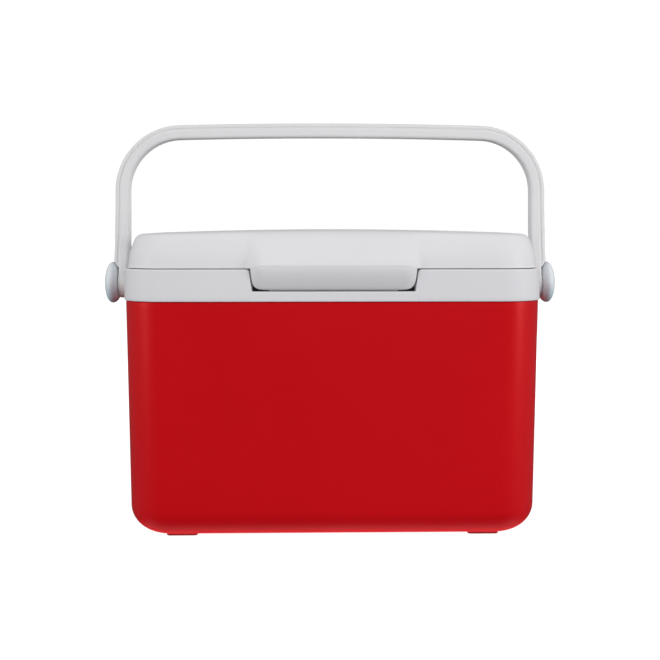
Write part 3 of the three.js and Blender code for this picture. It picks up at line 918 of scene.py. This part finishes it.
def bail():
    stations = []  # outer point, inner point, half depth factor, strip share
    cz = BTOP - BCROWN - RO

    def leg_half(z):
        if z >= 266:
            return HALF
        t = min(1.0, (266 - z) / 34)
        return HALF + (15.0 - HALF) * t * t * (3 - 2 * t)

    def leg_out(z):
        if z >= 300:
            return OUT
        if z >= 249:
            return FLARE + (OUT - FLARE) * (z - 249) / 51
        return FLARE

    # clear of the head's rounded rim by a third of a millimetre
    strip_foot = smooth_curve([(216, 209.6), (241.0, 209.6), (241.7, 210.4), (242.5, 211.2), (243.4, 211.85), (244.3, 212.45), (245.1, 213.05), (245.8, 213.7), (246.4, 214.35), (246.9, FLARE)])
    right = []
    for z in (216, 222, 228, 234, 238, 241.0, 241.7, 242.5, 243.4, 244.3, 245.1, 245.8, 246.4, 246.9, 247.6, 248.8, 250.5, 253, 257, 262, 268, 276, 286, 298, 308):
        share = min(1.0, max(0.0, (z - 241.0) / 5.9))
        out = strip_foot(z) if z < 246.9 else leg_out(z)
        half = leg_half(z) if z >= 232 else math.sqrt(max(15.0**2 - (PIVOT_Z - z) ** 2, 4.0))
        right.append(((out, z), (INN, z), half, share))
    n = 16
    for i in range(n + 1):
        t = math.pi / 2 * i / n
        right.append(
            (
                (OUT - RO + RO * math.cos(t), cz + RO * math.sin(t)),
                (INN - RI + RI * math.cos(t), cz + RI * math.sin(t)),
                HALF,
                1.0,
            )
        )
    END = OUT - RO
    for x in (136, 123, 109, 94, 78, 62, 46, 30, 15):
        right.append(
            (
                (x, BTOP - BCROWN * (x / END) ** 2),
                (x, BUNDER - BCROWN * (x / END) ** 2),
                HALF,
                1.0,
            )
        )
    middle = ((0.0, BTOP), (0.0, BUNDER), HALF, 1.0)
    left = [((-o[0], o[1]), (-i[0], i[1]), h, s) for o, i, h, s in reversed(right)]
    stations = right + [middle] + left

    def section(T, half, share):
        # inward distance and half depth; the outer strip is a rounded ledge with a fine groove beside it
        k = half / 11.0
        strip = [(0, 0), (0, 5.0), (0.05, 6.9), (0.28, 8.3), (0.8, 9.3), (1.7, 9.85), (3.0, 10.0), (3.45, 9.85), (3.95, 9.25), (4.5, 9.2), (5.0, 9.95), (5.5, 10.7), (6.3, 11)]
        plain = [(0, 0), (0, 4.2), (0.0, 6.6), (0.02, 8.0), (0.14, 9.0), (0.40, 9.8), (0.8, 10.4), (1.1, 10.66), (1.3, 10.78), (1.5, 10.86), (1.8, 10.94), (2.2, 10.98), (2.9, 11)]
        pts = [((a[0] * share + b[0] * (1 - share)), (a[1] * share + b[1] * (1 - share)) * k) for a, b in zip(strip, plain)]
        pts += [(T * 0.5, 11 * k), (T - 3.0, 11 * k), (T - 2.0, 10.85 * k), (T - 1.15, 10.4 * k), (T - 0.5, 9.65 * k), (T - 0.13, 8.6 * k), (T, 7.4 * k), (T, 3.7 * k), (T, 0)]
        loop = [(m, -y) for m, y in pts] + [(m, y) for m, y in reversed(pts[1:-1])]
        return loop

    rows = []
    for (ox, oz), (ix, iz), half, share in stations:
        T = math.hypot(ox - ix, oz - iz)
        rows.append(
            [
                (ox + (ix - ox) * m / T, y, oz + (iz - oz) * m / T)
                for m, y in section(T, half, share)
            ]
        )
    return skin(rows)


handle = build("bail_handle", bail(), None, [], pale_handle, 32)
for s in (1, -1):
    room = build("room", lathe_x([(0.05, 188.0), (12.0, 188.0), (12.0, 216.0), (0.05, 216.0)], s), None, [], pale_handle)
    carve(handle, room, "DIFFERENCE")
for s in (1, -1):
    ring = [(8.45, 192.5), (8.75, 192.2), (13.9, 192.2), (14.7, 192.45), (15.2, 193.1), (15.4, 194.0), (15.4, 208.2), (15.2, 209.2), (14.6, 209.95), (13.7, 210.2), (8.75, 210.2), (8.45, 209.9)]
    eye = build("eye", lathe_x(ring, s, loop=True), None, [], pale_handle)
    carve(handle, eye, "UNION")
finish_mesh(handle, 32)
if not handle.data.materials:
    handle.data.materials.append(pale_handle)
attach(handle, "handle")
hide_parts("handle")

# ------------------------------------------------------------------ pivots
KNOB = [
    (0.05, 182.5), (7.2, 182.5), (7.8, 182.8), (8.0, 183.4), (8.0, 185.0), (7.8, 185.1), (6.5, 185.1), (6.5, 187.0), (7.8, 187.0), (8.0, 187.2),
    (8.0, 200.0), (8.0, 210.3), (8.2, 210.5), (12.0, 210.5), (14.2, 210.55), (15.5, 210.95), (17.0, 211.7), (18.3, 212.6), (19.3, 213.8),
    (20.0, 215.0), (20.33, 216.1), (20.4, 217.0), (20.25, 218.0), (19.7, 219.1), (18.7, 220.2), (17.2, 221.2), (15.2, 222.1),
    (12.8, 222.8), (10.0, 223.4), (7.0, 223.85), (4.2, 224.1), (2.0, 224.22), (0.05, 224.25),
]
WASHER = [(8.45, 190.3), (11.2, 190.3), (11.5, 190.6), (11.5, 191.6), (11.2, 191.9), (8.45, 191.9)]
for tag, s in (("left", -1), ("right", 1)):
    build("pivot_head_" + tag, lathe_x(KNOB, s), "base", ["pivot_knob_" + tag], pale_knob, 40)
    build("pivot_ring_" + tag, lathe_x(WASHER, s, seg=48, loop=True), "base", ["pivot_washer_" + tag], grey_washer, 40)

# ------------------------------------------------------------------ CAD nodes that stay
for name, material in (
    ("body_insulation", foam),
    ("lid_insulation", foam),
    ("pivot_clip_left", steel),
    ("pivot_clip_right", steel),
):
    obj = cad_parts[name]
    obj.data.materials.clear()
    obj.data.materials.append(material)

# ------------------------------------------------------------------ floor, light
floor_mesh = bpy.data.meshes.new("floor")
floor_mesh.from_pydata([(-300, -300, 0), (300, -300, 0), (300, 300, 0), (-300, 300, 0)], [], [(0, 1, 2, 3)])
floor = bpy.data.objects.new("floor", floor_mesh)
scene.collection.objects.link(floor)
floor.location.z = -0.0002
floor.visible_diffuse = False
floor.visible_glossy = False
floor_mat = bpy.data.materials.new("pale_floor")
floor_mat.use_nodes = True
fb = floor_mat.node_tree.nodes["Principled BSDF"]
fb.inputs["Base Color"].default_value = (0.25, 0.25, 0.25, 1)
fb.inputs["Emission Color"].default_value = (1, 1, 1, 1)
fb.inputs["Emission Strength"].default_value = 0.97
fb.inputs["Roughness"].default_value = 0.9
fb.inputs["Specular IOR Level"].default_value = 0.1
floor_mesh.materials.append(floor_mat)

world = bpy.data.worlds.new("studio")
scene.world = world
world.use_nodes = True
wt = world.node_tree
wt.nodes.clear()
wout = node(wt, "ShaderNodeOutputWorld")
wbg = node(wt, "ShaderNodeBackground")
wt.links.new(wbg.outputs["Background"], wout.inputs["Surface"])
wco = node(wt, "ShaderNodeTexCoord")
wsep = node(wt, "ShaderNodeSeparateXYZ")
wt.links.new(wco.outputs["Generated"], wsep.inputs["Vector"])
wmap = node(wt, "ShaderNodeMapRange")
wmap.inputs["From Min"].default_value = -1.0
wmap.inputs["From Max"].default_value = 1.0
wt.links.new(wsep.outputs["Z"], wmap.inputs["Value"])
wramp = node(wt, "ShaderNodeValToRGB")
SKY = ((0.0, 0.08), (0.30, 0.20), (0.480, 0.41), (0.52, 0.52), (0.64, 0.72), (0.80, 0.77), (1.0, 0.78))
el = wramp.color_ramp.elements
while len(el) < len(SKY):
    el.new(0.5)
for e, (pos, v) in zip(el, SKY):
    e.position = pos
for e, (pos, v) in zip(wramp.color_ramp.elements, SKY):
    e.color = (v, v, v, 1)
wt.links.new(wmap.outputs["Result"], wramp.inputs["Fac"])
# brighter in front of the object than behind it
wback = node(wt, "ShaderNodeMapRange")
wback.inputs["From Min"].default_value = -0.1
wback.inputs["From Max"].default_value = 0.55
wback.inputs["To Min"].default_value = 1.0
wback.inputs["To Max"].default_value = 0.36
wt.links.new(wsep.outputs["Y"], wback.inputs["Value"])
wt.links.new(wramp.outputs["Color"], wbg.inputs["Color"])
wt.links.new(wback.outputs["Result"], wbg.inputs["Strength"])
# the backdrop that shows is plain white
backdrop = node(wt, "ShaderNodeBackground")
backdrop.inputs["Color"].default_value = (1, 1, 1, 1)
backdrop.inputs["Strength"].default_value = 1.02
seen = node(wt, "ShaderNodeLightPath")
pick = node(wt, "ShaderNodeMixShader")
wt.links.new(seen.outputs["Is Camera Ray"], pick.inputs["Fac"])
wt.links.new(wbg.outputs["Background"], pick.inputs[1])
wt.links.new(backdrop.outputs["Background"], pick.inputs[2])
wt.links.new(pick.outputs["Shader"], wout.inputs["Surface"])


def area(name, at, to, size, power, size_y=None, shine=True):
    data = bpy.data.lights.new(name, "AREA")
    data.energy = power
    data.shape = "RECTANGLE"
    data.size = size
    data.size_y = size_y or size
    light = bpy.data.objects.new(name, data)
    scene.collection.objects.link(light)
    light.location = at
    d = np.array(to, float) - np.array(at, float)
    yaw = math.atan2(d[0], d[1])
    pitch = math.atan2(d[2], math.hypot(d[0], d[1]))
    light.rotation_euler = (math.pi / 2 + pitch, 0, -yaw)
    light.visible_camera = False
    light.visible_glossy = shine
    return light


area("front_soft", (0.2, -1.45, 0.50), (0, 0, 0.2), 1.0, 3.3, shine=False)
area("right_soft", (1.55, -0.9, 0.45), (0, 0, 0.2), 0.5, 12.2, 0.9)
area("left_soft", (-1.55, -0.9, 0.45), (0, 0, 0.2), 0.5, 9.4, 0.9)
area("back_soft", (0.3, 1.8, 0.55), (0, 0, 0.2), 1.0, 24.0, shine=False)
area("under_card", (0, 0, 0.0005), (0, 0, 1.0), 0.362, 0.55, 0.234, shine=False)

scene.view_settings.view_transform = "Standard"
scene.view_settings.look = "None"
